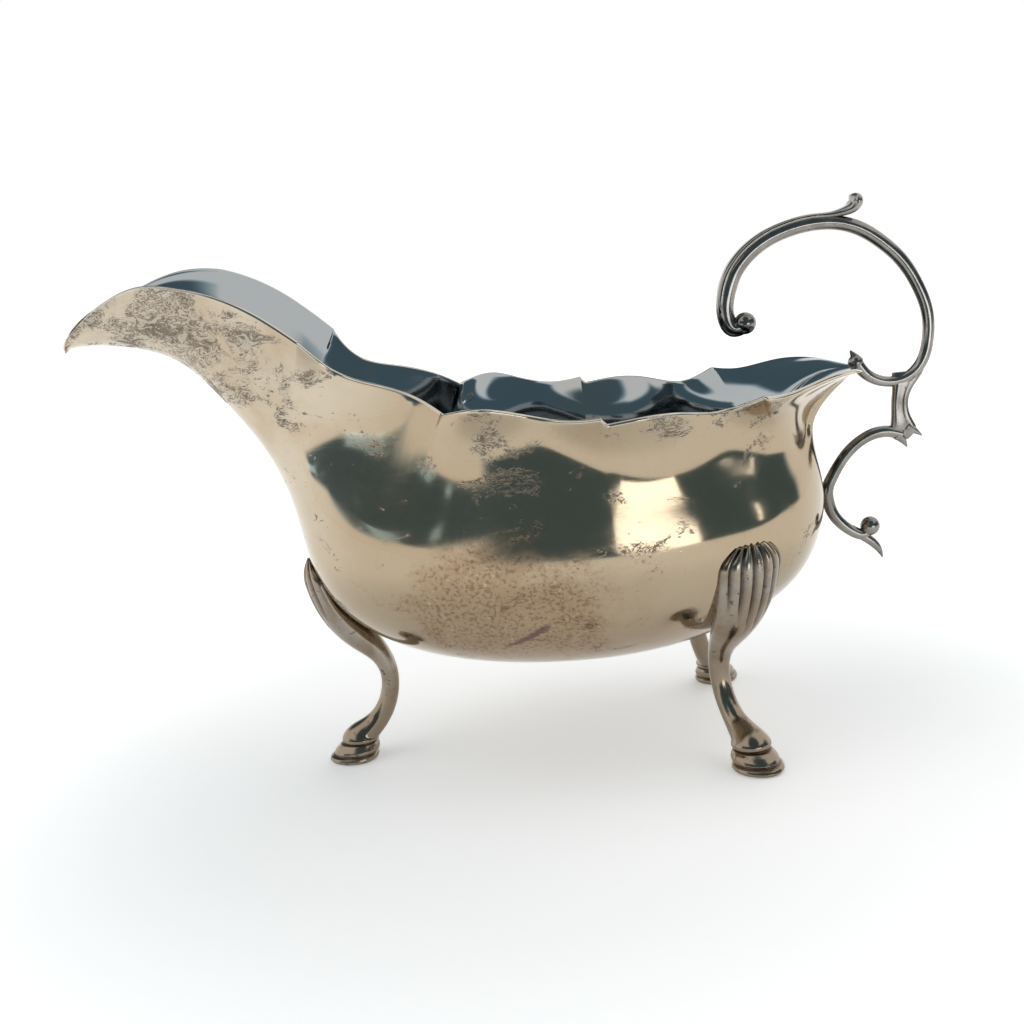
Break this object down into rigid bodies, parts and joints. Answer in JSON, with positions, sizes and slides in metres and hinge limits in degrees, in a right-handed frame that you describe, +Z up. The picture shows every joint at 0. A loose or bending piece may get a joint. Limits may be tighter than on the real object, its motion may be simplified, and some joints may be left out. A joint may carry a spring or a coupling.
{
  "type": "sauce boat",
  "caption": "Silver sauce boat: an open raised bowl with a long pouring spout and shaped rim, a flying scroll handle and cast cabriole legs.",
  "frame": {"origin": "on the floor, below the middle of the whole object's length and width", "axes": "+Z up, -X towards the spout's tip, +X towards the handle, Y across the bowl"},
  "size_m": [0.1801, 0.0804, 0.1105],
  "materials": {
    "raised_silver": "polished silver with warm tarnish",
    "cast_silver": "cast silver, darker tarnish in the hollows",
    "leg_silver": "cast silver, worn bright on the high places"
  },
  "bodies": {
    "root": {"bowl": "raised_silver", "upper_scroll": "cast_silver", "scroll_leaf": "cast_silver", "handle_strut": "cast_silver", "lower_scroll": "cast_silver", "leg_front": "leg_silver", "leg_rear_left": "leg_silver", "leg_rear_right": "leg_silver"}
  },
  "joints": []
}
